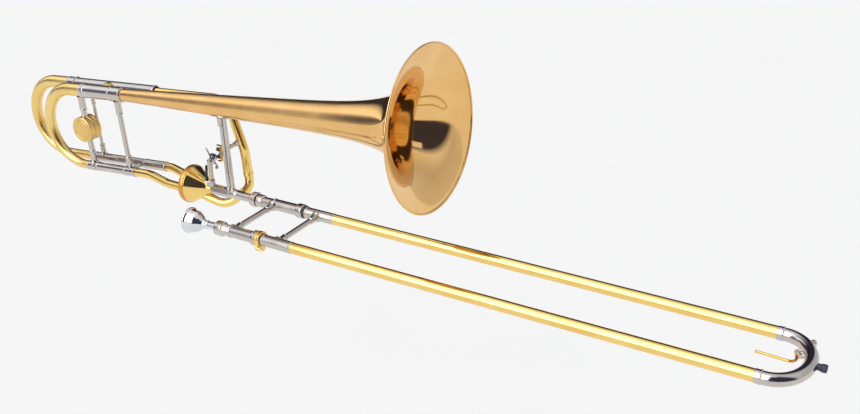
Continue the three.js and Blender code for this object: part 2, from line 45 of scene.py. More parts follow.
# ---- the instrument's own sizes, in millimetres ------------------------------------------------
MM = 0.001
SLIDE_WIDTH = 97
LEG_SPACING = 124
F_SPACING = 120
F_OFFSET = 26
PITCH = math.radians(4.62)
RIM = Vector((254.9, 0, 161.2))
RIM_RADIUS = 108
BELL_LENGTH = 529
FORWARD = Vector((1, 0, 0))
SIDEWAYS = Vector((0, 1, 0))
UP = Vector((0, 0, 1))
BELL_FORWARD = Vector((math.cos(PITCH), 0, math.sin(PITCH)))
BELL_UP = Vector((-math.sin(PITCH), 0, math.cos(PITCH)))


def bell_at(along, above, left=0):
    """A place along the bell's axis from its rim, above the axis and to its left."""
    return RIM + BELL_FORWARD * along + BELL_UP * above + SIDEWAYS * left


UPPER = (bell_at(0, 0), BELL_FORWARD)
LOWER = (bell_at(0, -LEG_SPACING), BELL_FORWARD)
F_UPPER = (bell_at(0, 0, F_OFFSET), BELL_FORWARD)
F_LOWER = (bell_at(0, -F_SPACING, F_OFFSET), BELL_FORWARD)
REAR = (Vector((0, 0, 0)), FORWARD)
FRONT = (Vector((0, -SLIDE_WIDTH, 0)), FORWARD)


# ---- finishes ----------------------------------------------------------------------------------
TARNISH = (0.25, 0.15, 0.06)
SPOT_LEVEL, SPOT_EDGE, SPOT_DEPTH = 0.68, 0.06, 0.45
WIPING_LINES = (60, 900, 900)


def metal(name, bright, deep, rough, haze, tarnish=TARNISH, hazy_end=None):
    """Polished metal with soft colour drift, hazy patches, fine wiping lines and small spots.

    A hazy end is the X where the polish stops, the X where the haze is full, and how much it adds.
    """
    material = bpy.data.materials.new(name)
    material.use_nodes = True
    nodes, links = material.node_tree.nodes, material.node_tree.links
    shader = nodes["Principled BSDF"]
    shader.inputs["Metallic"].default_value = 1.0
    coords = nodes.new("ShaderNodeTexCoord").outputs["Object"]

    def noise(scale, detail, source=coords):
        made = nodes.new("ShaderNodeTexNoise")
        made.inputs["Scale"].default_value = scale
        made.inputs["Detail"].default_value = detail
        links.new(source, made.inputs["Vector"])
        return made.outputs["Fac"]

    def ranged(source, low, high, to_low, to_high):
        made = nodes.new("ShaderNodeMapRange")
        for socket, value in zip((1, 2, 3, 4), (low, high, to_low, to_high)):
            made.inputs[socket].default_value = value
        links.new(source, made.inputs[0])
        return made.outputs[0]

    def mixed(amount, first, second):
        made = nodes.new("ShaderNodeMix")
        made.data_type = "RGBA"
        links.new(amount, made.inputs[0])
        for socket, value in ((made.inputs[6], first), (made.inputs[7], second)):
            if isinstance(value, tuple):
                socket.default_value = (*value, 1)
            else:
                links.new(value, socket)
        return made.outputs[2]

    drift = mixed(ranged(noise(22, 4), 0.35, 0.7, 0, 1), bright, deep)
    spot = ranged(noise(640, 2), SPOT_LEVEL, SPOT_LEVEL + SPOT_EDGE, 0, SPOT_DEPTH)
    links.new(mixed(spot, drift, tarnish), shader.inputs["Base Color"])

    patches = ranged(noise(60, 5), 0.4, 0.75, rough, rough + haze)
    spotted = nodes.new("ShaderNodeMath")
    spotted.operation = "MULTIPLY_ADD"
    links.new(spot, spotted.inputs[0])
    spotted.inputs[1].default_value = 0.25
    links.new(patches, spotted.inputs[2])
    roughness = spotted.outputs[0]
    if hazy_end:
        polished_from, hazy_from, more = hazy_end
        along = nodes.new("ShaderNodeSeparateXYZ")
        links.new(coords, along.inputs[0])
        hazier = nodes.new("ShaderNodeMath")
        hazier.operation = "ADD"
        links.new(roughness, hazier.inputs[0])
        links.new(ranged(along.outputs["X"], polished_from, hazy_from, 0, more), hazier.inputs[1])
        roughness = hazier.outputs[0]
    links.new(roughness, shader.inputs["Roughness"])

    stretched = nodes.new("ShaderNodeMapping")
    stretched.inputs["Scale"].default_value = WIPING_LINES
    links.new(coords, stretched.inputs["Vector"])
    bump = nodes.new("ShaderNodeBump")
    bump.inputs["Strength"].default_value = 0.06
    bump.inputs["Distance"].default_value = 0.00005
    links.new(noise(1, 3, stretched.outputs["Vector"]), bump.inputs["Height"])
    links.new(bump.outputs["Normal"], shader.inputs["Normal"])
    return material


def dull(name, bright, deep, rough, grain, depth):
    """Rubber, felt or cork: a grainy, uneven surface with no shine."""
    material = bpy.data.materials.new(name)
    material.use_nodes = True
    nodes, links = material.node_tree.nodes, material.node_tree.links
    shader = nodes["Principled BSDF"]
    coords = nodes.new("ShaderNodeTexCoord").outputs["Object"]
    speckle = nodes.new("ShaderNodeTexNoise")
    speckle.inputs["Scale"].default_value = grain
    speckle.inputs["Detail"].default_value = 5
    links.new(coords, speckle.inputs["Vector"])
    ramp = nodes.new("ShaderNodeValToRGB")
    for stop, (place, colour) in zip(ramp.color_ramp.elements, ((0.35, deep), (0.7, bright))):
        stop.position = place
        stop.color = (*colour, 1)
    links.new(speckle.outputs["Fac"], ramp.inputs["Fac"])
    links.new(ramp.outputs["Color"], shader.inputs["Base Color"])
    worn = nodes.new("ShaderNodeMapRange")
    worn.inputs[3].default_value = rough - 0.12
    worn.inputs[4].default_value = rough + 0.1
    links.new(speckle.outputs["Fac"], worn.inputs[0])
    links.new(worn.outputs[0], shader.inputs["Roughness"])
    bump = nodes.new("ShaderNodeBump")
    bump.inputs["Strength"].default_value = 0.5
    bump.inputs["Distance"].default_value = depth
    links.new(speckle.outputs["Fac"], bump.inputs["Height"])
    links.new(bump.outputs["Normal"], shader.inputs["Normal"])
    return material


FINISHES = {
    "yellow": (metal("lacquered_yellow_brass", (0.94, 0.67, 0.23), (0.88, 0.59, 0.18), 0.09, 0.05),
               "yellow_brass"),
    "hazed": (metal("hazed_yellow_brass", (0.92, 0.68, 0.27), (0.86, 0.60, 0.21), 0.27, 0.07),
              "yellow_brass"),
    "amber": (metal("amber_lacquered_brass", (0.88, 0.43, 0.10), (0.78, 0.35, 0.07), 0.16, 0.06),
              "yellow_brass"),
    "satin": (metal("satin_yellow_brass", (0.84, 0.58, 0.22), (0.78, 0.52, 0.18), 0.36, 0.08),
              "yellow_brass"),
    "gold": (metal("lacquered_gold_brass", (0.86, 0.54, 0.22), (0.80, 0.48, 0.17), 0.08, 0.04,
                   hazy_end=(0.2, 0.1, 0.17)), "gold_brass"),
    "nickel": (metal("polished_nickel_silver", (0.62, 0.575, 0.535), (0.54, 0.50, 0.465),
                     0.09, 0.06, tarnish=(0.22, 0.19, 0.15)), "nickel_silver"),
    "chrome": (metal("chromed_tube", (0.64, 0.66, 0.70), (0.58, 0.60, 0.65), 0.05, 0.04,
                     tarnish=(0.3, 0.3, 0.3)), "chrome_plate"),
    "copper": (metal("polished_copper", (0.78, 0.40, 0.12), (0.68, 0.31, 0.08), 0.25, 0.08),
               "copper"),
    "silver": (metal("silver_plate", (0.78, 0.79, 0.82), (0.66, 0.67, 0.70), 0.06, 0.05,
                     tarnish=(0.3, 0.27, 0.2)), "silver_plate"),
    "rubber": (dull("black_rubber", (0.042, 0.05, 0.075), (0.02, 0.025, 0.04), 0.55, 900, 0.0001),
               "black_rubber"),
    "cork": (dull("key_cork", (0.45, 0.27, 0.13), (0.25, 0.13, 0.06), 0.85, 1400, 0.0002), "cork"),
}


# ---- ways of making a piece --------------------------------------------------------------------
def fit(piece, body, finish, nodes=()):
    """Gives a finished piece its metal and its body, and hides the solids that it stands for."""
    material, slot = FINISHES[finish]
    piece.data.materials.clear()
    piece.data.materials.append(material)
    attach(piece, body)
    if nodes:
        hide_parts(*nodes)
    return piece


def linked(name, data):
    piece = bpy.data.objects.new(name, data)
    scene.collection.objects.link(piece)
    return piece


def settle(piece, place):
    """Applies a piece's modifiers, and then its place."""
    graph = bpy.context.evaluated_depsgraph_get()
    shaped = bpy.data.meshes.new_from_object(piece.evaluated_get(graph))
    piece.modifiers.clear()
    rough_cut = piece.data
    piece.data = shaped
    bpy.data.meshes.remove(rough_cut)
    shaped.transform(place)
    even = piece.modifiers.new("even shading", "WEIGHTED_NORMAL")
    even.keep_sharp = True
    return piece


def on_line(line):
    origin, direction = line
    turn = UP.rotation_difference(direction.normalized())
    return Matrix.Translation(origin * MM) @ turn.to_matrix().to_4x4()


def rounded(piece, edge, angle=28, segments=2):
    bevel = piece.modifiers.new("broken edges", "BEVEL")
    bevel.width = edge * MM
    bevel.segments = segments
    bevel.limit_method = "ANGLE"
    bevel.angle_limit = math.radians(angle)


def turned(name, body, finish, line, steps, nodes=(), bore=None, inside=None, edge=0.3, sides=64):
    """Turns [along, radius] steps about a line. A bore or an inside profile makes it hollow."""
    outline = [(radius, along) for along, radius in reversed(steps)]
    hollow = bore is not None or inside is not None
    if inside is not None:
        outline += [(radius, along) for along, radius in inside]
    elif hollow:
        outline += [(bore, outline[-1][1]), (bore, outline[0][1])]
    else:
        outline = [(0, outline[0][1]), *outline, (0, outline[-1][1])]
    links = [(i, i + 1) for i in range(len(outline) - 1)]
    if hollow:
        links.append((len(outline) - 1, 0))
    profile = bpy.data.meshes.new(name)
    profile.from_pydata([(r * MM, 0, a * MM) for r, a in outline], links, [])
    piece = linked(name, profile)
    screw = piece.modifiers.new("turning", "SCREW")
    screw.steps = screw.render_steps = sides
    screw.use_merge_vertices = True
    screw.merge_threshold = 1e-6
    if edge:
        rounded(piece, edge)
    return fit(settle(piece, on_line(line)), body, finish, nodes)


def pipe(name, body, finish, places, radius, nodes=(), sides=32):
    """A bent tube through the places. The radius may be a pair, from its start to its end."""
    curve = bpy.data.curves.new(name, "CURVE")
    curve.dimensions = "3D"
    curve.bevel_depth = MM
    curve.bevel_resolution = (sides - 4) // 2
    curve.use_fill_caps = True
    spline = curve.splines.new("POLY")
    spline.points.add(len(places) - 1)
    first, last = radius if isinstance(radius, tuple) else (radius, radius)
    for i, (point, place) in enumerate(zip(spline.points, places)):
        point.co = (*(place * MM), 1)
        point.radius = first + (last - first) * i / (len(places) - 1)
    return fit(linked(name, curve), body, finish, nodes)


def route(corners, radii, steps=16):
    """Straight runs between corners, with each corner rounded to its radius."""
    line = [corners[0]]
    for before, corner, after, radius in zip(corners, corners[1:], corners[2:], radii):
        into, out = (corner - before).normalized(), (after - corner).normalized()
        angle = into.angle(out)
        start = corner - into * radius * math.tan(angle / 2)
        inward = (out - into * out.dot(into)).normalized()
        for k in range(steps + 1):
            a = angle * k / steps
            line.append(start + into * radius * math.sin(a) + inward * radius * (1 - math.cos(a)))
    return [*line, corners[-1]]


def plate(name, body, finish, points, faces, place, nodes=(), thick=1.0, edge=0.25, smooth=0):
    """A thin plate from a flat cage: thickened, its edges broken, and smoothed if it is curved."""
    cage = bpy.data.meshes.new(name)
    cage.from_pydata([Vector(p) * MM for p in points], [], faces)
    piece = linked(name, cage)
    if smooth:
        curved = piece.modifiers.new("curve", "SUBSURF")
        curved.levels = curved.render_levels = smooth
    wall = piece.modifiers.new("thickness", "SOLIDIFY")
    wall.thickness = thick * MM
    wall.offset = 0
    rounded(piece, edge, 40)
    settle(piece, place)
    for face in piece.data.polygons:
        face.use_smooth = True
    return fit(piece, body, finish, nodes)


def bead(along, radius, height=0.5, half=1.0):
    """A half-round ring standing on a tube."""
    return [(along - half, radius), (along - 0.7 * half, radius + 0.7 * height),
            (along, radius + height), (along + 0.7 * half, radius + 0.7 * height),
            (along + half, radius)]


# ---- bell --------------------------------------------------------------------------------------
TAIL_RADIUS, TAIL_SLOPE = 9.4, 0.033
WIDE_SIZE, WIDE_REACH, EDGE_REACH = 60, 40, 9
EDGE_SIZE = RIM_RADIUS - TAIL_RADIUS - TAIL_SLOPE * BELL_LENGTH - WIDE_SIZE


def bell_radius(back):
    return (TAIL_RADIUS + TAIL_SLOPE * (BELL_LENGTH - back)
            + WIDE_SIZE * math.exp(-back / WIDE_REACH) + EDGE_SIZE * math.exp(-back / EDGE_REACH))


def make_bell():
    """The flare, its wall offset inwards, and the edge rolled over a wire."""
    wall, wire, wire_inset, roll_start, count = 0.7, 1.35, 0.75, 1.6, 70
    stations = [roll_start + (BELL_LENGTH - roll_start) * (k / count) ** 2.2
                for k in range(count + 1)]
    outside = [(-back, bell_radius(back)) for back in reversed(stations)]
    centre = RIM_RADIUS - wire_inset
    turn = [math.radians(a) for a in range(-30, 211, 24)]
    rolled = [(0.6 + wire * math.sin(a), centre + wire * math.cos(a)) for a in turn]
    inside = []
    near = 0.1
    for back in reversed(stations):
        slope = (bell_radius(back - near) - bell_radius(back + near)) / (2 * near)
        length = math.hypot(slope, 1)
        inside.append((-back + wall * slope / length, bell_radius(back) - wall / length))
    turned("bell", "bell_section", "gold", UPPER, [*outside, *rolled], ["bell"], inside=inside,
           edge=0, sides=128)


make_bell()

# ---- tuning slide sleeves, fixed to the bell section -------------------------------------------
FERRULE_BACK, FERRULE_FRONT = -553.6, -529.2
UPPER_MOUTH, LOWER_MOUTH = -607.6, -615.2
F_UPPER_MOUTH, F_LOWER_MOUTH = -655.5, -645.4
turned("bell_ferrule", "bell_section", "nickel", UPPER,
       [(FERRULE_BACK, 10.9), *bead(FERRULE_BACK + 1.4, 11.2, 0.5, 1), (-532.4, 11.2),
        *bead(FERRULE_FRONT - 1.6, 11.1, 0.4, 1), (FERRULE_FRONT, 10.4)],
       ["bell_ferrule"], bore=8.7)
turned("upper_tuning_sleeve", "bell_section", "nickel", UPPER,
       [(UPPER_MOUTH, 10.8), *bead(UPPER_MOUTH + 1.3, 10.9, 0.4, 0.9), (UPPER_MOUTH + 2.8, 10.9),
        (-554, 10.9), (-553.9, 10.4)], ["upper_tuning_sleeve"], bore=9.9)
turned("lower_tuning_sleeve", "bell_section", "nickel", LOWER,
       [(LOWER_MOUTH, 7.1), *bead(LOWER_MOUTH + 1.2, 7.1, 0.4, 0.9), (LOWER_MOUTH + 2.6, 7),
        (-557, 7), *bead(-554.8, 7.4, 0.4, 1.2), (-552.8, 7.4), (-536.6, 7.4),
        *bead(-534.8, 7.5, 0.4, 1.1), (-533.3, 7.3)], ["lower_tuning_sleeve"], bore=6.2)
turned("f_upper_sleeve", "bell_section", "nickel", F_UPPER,
       [(F_UPPER_MOUTH, 10.6), *bead(F_UPPER_MOUTH + 1.4, 10.5, 0.5, 1.2),
        (F_UPPER_MOUTH + 3.2, 9.7), (-491.6, 9.7), *bead(-489.4, 9.7, 0.4, 1.1), (-487.5, 9.4)],
       ["f_upper_sleeve"], bore=8.8)
turned("f_lower_sleeve", "bell_section", "nickel", F_LOWER,
       [(F_LOWER_MOUTH, 7.2), *bead(F_LOWER_MOUTH + 1.2, 7.2, 0.4, 0.9),
        (F_LOWER_MOUTH + 2.6, 7.1), (-538, 7.1),
        *bead(-536.4, 7.5, 0.4, 1.1), (-534.8, 7.6), (-497, 7.6), *bead(-494.8, 7.6, 0.4, 1.2),
        (-493, 7.4)], ["f_lower_sleeve"], bore=6.3)

# ---- tuning slides that pull out ---------------------------------------------------------------
def crook(name, body, upper_end, lower_end, centre, spacing, left, radius):
    """A half-circle bend between two legs, tapering from its upper end to its lower one."""
    half = spacing / 2
    bend = [math.pi * k / 60 for k in range(61)]
    line = [bell_at(upper_end, 0, left)]
    line += [bell_at(centre - half * math.sin(a), half * (math.cos(a) - 1), left) for a in bend]
    line.append(bell_at(lower_end, -spacing, left))
    pipe(name, body, "hazed", line, radius, [name], 48)


crook("main_crook", "main_tuning_slide", -612.5, -633.4, -641, LEG_SPACING, 0, (10, 6.8))
crook("f_crook", "f_tuning_slide", -668.8, -651, -703.1, F_SPACING, F_OFFSET, (9.7, 6.9))
turned("main_upper_leg", "main_tuning_slide", "nickel", UPPER,
       [(-614, 10.9), *bead(-612.8, 11.2, 0.5, 1), (-611.4, 11.3), (-608.6, 11.3), (-607.9, 10.8),
        (-607.8, 9.5), (-562, 9.5)], ["main_upper_leg"], bore=8.8, edge=0.15)
turned("main_lower_leg", "main_tuning_slide", "nickel", LOWER,
       [(-634.8, 7), *bead(-633.6, 7.1, 0.5, 1.1), (-632.2, 7.4), (-624, 7.4),
        *bead(-622.6, 7.4, 0.4, 1), (-621.4, 7.4), (-615.6, 7.2),
        (-615.5, 5.8), (-568, 5.8)], ["main_lower_leg"], bore=5.2, edge=0.15)
turned("f_upper_leg", "f_tuning_slide", "nickel", F_UPPER,
       [(-670.3, 9.9), *bead(-668.9, 9.9, 0.5, 1.2), (-667.3, 10.2), (-655.9, 10.2), (-655.8, 8.4),
        (-600, 8.4)], ["f_upper_leg"], bore=7.8, edge=0.15)
turned("f_lower_leg", "f_tuning_slide", "nickel", F_LOWER,
       [(-652.4, 7), *bead(-651, 7, 0.5, 1.1), (-649.6, 7.3), (-645.8, 7.3), (-645.7, 5.9),
        (-600, 5.9)], ["f_lower_leg"], bore=5.3, edge=0.15)

DOWN = -BELL_UP
BRACE_PLACE = -622
turned("tuning_slide_brace", "main_tuning_slide", "nickel", (bell_at(BRACE_PLACE, 0), DOWN),
       [(9.6, 6.4), (10.8, 5.7), (12.8, 5.3), (29.4, 5.2), *bead(30.8, 5.2, 0.5, 1.1), (32.2, 4.3),
        (97, 4.3), *bead(98.4, 4.4, 0.5, 1.1), (99.8, 4.6), (113, 4.7), (115.4, 5.2),
        (117.2, 6)], ["tuning_slide_brace"])
WEIGHT_RADIUS, WEIGHT_GROOVE = 20, 19
turned("counterweight", "main_tuning_slide", "satin", (bell_at(BRACE_PLACE, -61), SIDEWAYS),
       [(-11.5, 14), (-11.1, 14.4), (-11.1, 15), (-11.5, 15.4), (-11.5, 18.8),
        (-10.6, WEIGHT_RADIUS), (-3.2, WEIGHT_RADIUS), (-2.9, WEIGHT_GROOVE),
        (-1.7, WEIGHT_GROOVE), (-1.4, WEIGHT_RADIUS), (3.8, WEIGHT_RADIUS),
        (4.1, WEIGHT_GROOVE), (5.3, WEIGHT_GROOVE), (5.6, WEIGHT_RADIUS),
        (9.6, WEIGHT_RADIUS), (10.5, 18.8)], ["counterweight"], sides=96)

# ---- braces between the sleeves ----------------------------------------------------------------
turned("f_brace", "bell_section", "nickel", (bell_at(-627, 0, F_OFFSET), DOWN),
       [(9.2, 4.4), (10.4, 3.6), (12, 3.1), (28, 3), *bead(29.4, 3, 0.4, 1), (30.8, 2.5),
        (96.6, 2.5), (97.4, 4), *bead(98.8, 4, 0.4, 1), (100.2, 4.1), (109, 4.1), (112, 4.6),
        (113.4, 5.4)], ["f_brace"])
turned("bell_section_brace", "bell_section", "nickel", (bell_at(-545, 0), DOWN),
       [(10.8, 6.4), (11.9, 5.6), (13.4, 5), (29.4, 4.9), *bead(30.8, 4.9, 0.5, 1.1), (32.2, 3.8),
        (98.6, 3.8), *bead(100, 4.6, 0.5, 1.1), (101.4, 5.2), (110, 5.2), (113.6, 4.2),
        (117.4, 3.2)], ["bell_section_brace"])
turned("upper_leg_spacer", "bell_section", "yellow", (bell_at(-574, 6), SIDEWAYS),
       [(8.6, 5.2), (10, 5.7), (16, 5.7), (18, 5.2), (19.4, 4.4)],
       ["upper_leg_spacer"])
turned("lower_leg_spacer", "bell_section", "nickel",
       (bell_at(-546, -LEG_SPACING), SIDEWAYS * F_OFFSET + BELL_UP * (LEG_SPACING - F_SPACING)),
       [(7, 4.4), (8.6, 3.5), (17.4, 3.5), (19.2, 4.4)], ["lower_leg_spacer"])

# ---- valve -------------------------------------------------------------------------------------
VALVE_BACK = -158
turned("valve_ring", "bell_section", "copper", REAR,
       [(VALVE_BACK, 27.2), (VALVE_BACK + 0.8, 28.3), (VALVE_BACK + 2.4, 28.6),
        (VALVE_BACK + 6.2, 28.6), (VALVE_BACK + 7.6, 27.9)], ["valve_ring"], bore=26, sides=96)
turned("valve_casing", "bell_section", "yellow", REAR,
       [(-150.4, 27), (-149.8, 27.5), (-148.6, 27), (-124, 11), (-121.2, 9.4)],
       ["valve_casing"], inside=[(-150.4, 25.8), (-121.2, 7.8)], sides=96)
turned("valve_nose", "bell_section", "yellow", REAR,
       [(-121.8, 9.9), (-121, 9.4), (-115.2, 7.2), (-114.4, 6.7)], bore=6)
turned("valve_back_plate", "bell_section", "copper", REAR,
       [(-161.4, 3), (-160.8, 4), (-158.6, 4.4), (-158.4, 20), (-157.8, 25.9), (-155.5, 25.9)],
       ["valve_back_plate"], sides=96)
turned("valve_rotor", "valve_rotor", "nickel", REAR, [(-154.8, 25.1), (-150.1, 24.9), (-121.6, 7)],
       ["valve_rotor"])
for place in range(6):
    a = math.radians(30 + 60 * place)
    screw_line = (Vector((0, 22.4 * math.sin(a), 22.4 * math.cos(a))), FORWARD)
    turned(f"plate_screw_{place + 1}", "bell_section", "nickel", screw_line,
           [(-159.6, 0.4), (-159.6, 1.6), (-159, 2), (-158, 2)], edge=0.15, sides=24)

# ---- tubes of the bell section -----------------------------------------------------------------
MAIN_PORT, F_PORT = (-4, -9), (13, 4)
pipe("gooseneck", "bell_section", "yellow",
     route([bell_at(-536, -LEG_SPACING), bell_at(-505, -LEG_SPACING), Vector((-200, -4, -8.6)),
            Vector((-157, *MAIN_PORT))], [90, 70]), 6.7, ["gooseneck"])
pipe("f_lower_tube", "bell_section", "yellow",
     route([bell_at(-496, -F_SPACING, F_OFFSET), bell_at(-483, -F_SPACING, F_OFFSET),
            Vector((-178, *F_PORT)), Vector((-157, *F_PORT))], [40, 30]), 6.7, ["f_lower_tube"])
for name, (left, above) in (("main_port_ring", MAIN_PORT), ("f_port_ring", F_PORT)):
    turned(name, "bell_section", "nickel", (Vector((0, left, above)), FORWARD),
           [(-165.6, 6.8), *bead(-164, 7, 0.5, 1.1), (-162.6, 7.3), (-158.6, 7.3)], bore=6.4)
F_DROP, F_BREAK = -333, -108
pipe("f_long_tube", "bell_section", "yellow",
     route([bell_at(-490, 0, F_OFFSET), bell_at(-352, 0, F_OFFSET), bell_at(F_DROP, -75, F_OFFSET),
            bell_at(F_DROP, F_BREAK - 2, F_OFFSET)], [32, 60]), 7, ["f_long_tube"])
pipe("f_return_bend", "bell_section", "yellow",
     route([bell_at(F_DROP, F_BREAK, F_OFFSET), bell_at(F_DROP, -132.6, F_OFFSET),
            Vector((-97, 5, -25.4)), Vector((-136, 0, -14))], [22, 28]), 6.7, ["f_return_bend"])
turned("f_break_ferrule", "bell_section", "yellow", (bell_at(F_DROP, 0, F_OFFSET), DOWN),
       [(108, 7), *bead(109.2, 7.2, 0.5, 1.1), (110.6, 7.5), (113.6, 7.4), (114.4, 6.9)], bore=6.2)

# ---- neckpipe and the left hand's grip ---------------------------------------------------------
turned("neckpipe", "bell_section", "nickel", REAR,
       [(-120.6, 6.4), (-88, 6.4), (-76, 6.6), (-31.5, 6.6)], ["neckpipe"], bore=5.9)
turned("grip_block", "bell_section", "nickel", REAR,
       [(-112.6, 7.6), (-112, 8.2), (-81, 8.2), (-80.4, 7.6)], bore=6.1, sides=8, edge=0.6)
turned("neckpipe_collar", "bell_section", "nickel", REAR,
       [(-80.2, 7), (-79, 7.3), (-69.6, 7.3), (-68.2, 6.8)], bore=6.3)

GRIP_ALONG = -344.4
GRIP_DOWN = Vector((0.035, 0, -1)).normalized()
GRIP_TOP = bell_radius(-GRIP_ALONG)
GRIP_LENGTH = bell_at(GRIP_ALONG, 0).z - 7


def grip_line(forwards):
    return (bell_at(GRIP_ALONG, 0) + FORWARD * forwards, GRIP_DOWN)


turned("bell_brace_socket", "bell_section", "nickel", grip_line(-0.9),
       [(GRIP_TOP - 1, 6.6), (GRIP_TOP + 0.6, 5.8), (GRIP_TOP + 2.4, 4.4), (GRIP_TOP + 12.4, 4.3),
        *bead(GRIP_TOP + 13.8, 4.2, 0.3, 1), (GRIP_TOP + 15.2, 3.6)], ["bell_brace_socket"])
turned("bell_brace_tube", "bell_section", "nickel", grip_line(0),
       [(GRIP_TOP + 13, 3.1), (GRIP_LENGTH - 3, 3.1), (GRIP_LENGTH - 1.4, 3.7), (GRIP_LENGTH, 4.6)],
       ["bell_brace_tube"])
turned("second_brace_tube", "bell_section", "nickel", grip_line(7),
       [(GRIP_TOP - 1, 4), (GRIP_TOP + 1, 3), (GRIP_TOP + 3, 2.9), (GRIP_LENGTH - 3, 2.9),
        (GRIP_LENGTH - 1.4, 3.4), (GRIP_LENGTH + 0.5, 4.2)], ["second_brace_tube"])
turned("side_brace", "bell_section", "nickel", (Vector((-78.6, 0, 71.5)), SIDEWAYS),
       [(2, 2.9), (3, 3.2), (6.4, 3.1), *bead(7.4, 3, 0.4, 0.8), (8.4, 2.5), (12, 2.5), (13, 3.4),
        (17, 3.7), (19.6, 4.8)], ["side_brace"])


def saddle(name, body, centre, along, half_along, half_turn, radius, tilt):
    """A thin leaf-shaped flange that hugs the bell where a brace is soldered on."""
    points, faces = [], []
    count = 10
    for i in range(count + 1):
        t = -1 + 2 * i / count
        width = half_turn * math.sqrt(max(0.04, 1 - t * t))
        place = along + half_along * t
        for j in range(count + 1):
            a = math.radians(tilt + width * (-1 + 2 * j / count))
            out = radius(-place) + 0.35
            around = BELL_UP * math.cos(a) + SIDEWAYS * math.sin(a)
            points.append(centre + BELL_FORWARD * place + around * out)
    for i in range(count):
        for j in range(count):
            k = i * (count + 1) + j
            faces.append((k, k + 1, k + count + 2, k + count + 1))
    plate(name, body, "nickel", points, faces, Matrix(), thick=1.1, edge=0.3)


saddle("bell_flange", "bell_section", RIM, GRIP_ALONG + 1, 17, 34, bell_radius, 186)

# ---- thumb lever -------------------------------------------------------------------------------
POST = Vector((-113.7, -3, 0))
BALL = Vector((-100.4, -6.4, 58))
PADDLE = Vector((-121, 8, 44.5))
turned("lever_post", "bell_section", "nickel", (POST, UP),
       [(6.6, 5.6), (8, 5.4), (14.6, 5.2), (16, 4.6), (16.2, 2.2), (46.6, 2.2), (46.8, 2.9),
        (48, 2.8), (48.6, 2)], ["lever_post"], edge=0.2)
turned("post_base", "bell_section", "nickel", (POST + Vector((-4, 0, 0)), UP),
       [(6.4, 7.2), (14, 7.2), (15, 6.6)], edge=0.5, sides=8)
turned("thumb_lever", "thumb_lever", "nickel", (POST, UP),
       [(16.4, 3.9), (17.4, 4.2), (19, 3.8), (43.4, 3.8), (45, 4.2), (46.4, 3.9)], ["thumb_lever"],
       bore=2.4)
pipe("lever_arm", "thumb_lever", "nickel",
     route([POST + Vector((2, 0, 42)), POST + Vector((6, -1, 44)), BALL + Vector((-1, 4, -6)),
            BALL + Vector((0, 2, 0)), BALL + Vector((0, -1.6, 0))], [3, 4, 2], 6), (2.2, 1.7))
pipe("paddle_arm", "thumb_lever", "nickel",
     route([POST + Vector((-1, 2, 38)), POST + Vector((-1.5, 7, 38.5)), PADDLE], [4], 8),
     (2.4, 1.9))


def make_paddle():
    """The thumb's dished plate, leaning back towards the player."""
    lengthwise = Vector((20, 0, -26)).normalized()
    face = Vector((0.54, 0.73, 0.416)).normalized()
    across = face.cross(lengthwise).normalized()
    face = lengthwise.cross(across)
    rows, columns, half_length, half_width = 6, 4, 15.5, 7.8
    points, faces = [], []
    for i in range(rows + 1):
        t = -1 + 2 * i / rows
        half = half_width * (1 - 0.35 * t ** 4) * (0.82 if t < -0.9 else 1)
        for j in range(columns + 1):
            s = -1 + 2 * j / columns
            dish = 1.1 * s * s + 1.4 * t * t
            points.append(PADDLE + lengthwise * half_length * t + across * half * s + face * dish)
    for i in range(rows):
        for j in range(columns):
            k = i * (columns + 1) + j
            faces.append((k, k + columns + 1, k + columns + 2, k + 1))
    plate("lever_paddle", "thumb_lever", "nickel", points, faces, Matrix(), thick=2, smooth=2)


make_paddle()
turned("paddle_end", "thumb_lever", "nickel", (PADDLE + Vector((10, 0, -13)), SIDEWAYS),
       [(-2.6, 0.9), (-1.8, 2), (0, 2.6), (1.8, 2), (2.6, 0.9)], edge=0, sides=32)
turned("ball_joint", "thumb_lever", "rubber", (BALL, SIDEWAYS),
       [(-5.8, 3.8), (-5.4, 4.5), (-2.6, 4.5), (-2.2, 3.8)], ["ball_joint"], bore=2)
turned("joint_ball", "thumb_lever", "nickel", (BALL, SIDEWAYS),
       [(-6.1, 0.5), (-5.8, 1.4), (-4.8, 2), (-1.6, 2)], edge=0, sides=32)
turned("spring_case", "bell_section", "rubber", (Vector((-124.4, -3, 0)), Vector((0.09, 0, 1))),
       [(14, 1.4), (14.4, 1.9), (36.2, 1.9), (36.8, 1.4)], ["lever_spring"])

STOP = Vector((-93.4, 0, 60))


def make_bracket():
    """A strip bent into a U that holds the lever's two bumpers."""
    back, front, half_height, half_width = -6.2, 0.8, 12, 2.2
    outline = [(back, half_height), (front, half_height), (front, -half_height),
               (back, -half_height)]
    points = [STOP + Vector((x, y, z)) for y in (-half_width, half_width) for x, z in outline]
    faces = [(k, k + 1, k + 5, k + 4) for k in range(3)]
    plate("stop_bracket", "bell_section", "yellow", points, faces, Matrix(), ["stop_bracket"],
          thick=0.9, edge=0.25)


make_bracket()
turned("stop_boss", "bell_section", "nickel", (STOP, FORWARD),
       [(-1.8, 2.6), (-1, 2.8), (2.4, 2.8), (3.6, 3.4), (5.4, 3.6)], edge=0.2, sides=32)
for name, above in (("stop_bumper_upper", 5.6), ("stop_bumper_lower", -5.6)):
    turned(name, "bell_section", "rubber", (STOP + UP * above, FORWARD),
           [(-6.4, 2.4), (-5.8, 3), (-1.4, 3), (-0.4, 3.2)], [name])

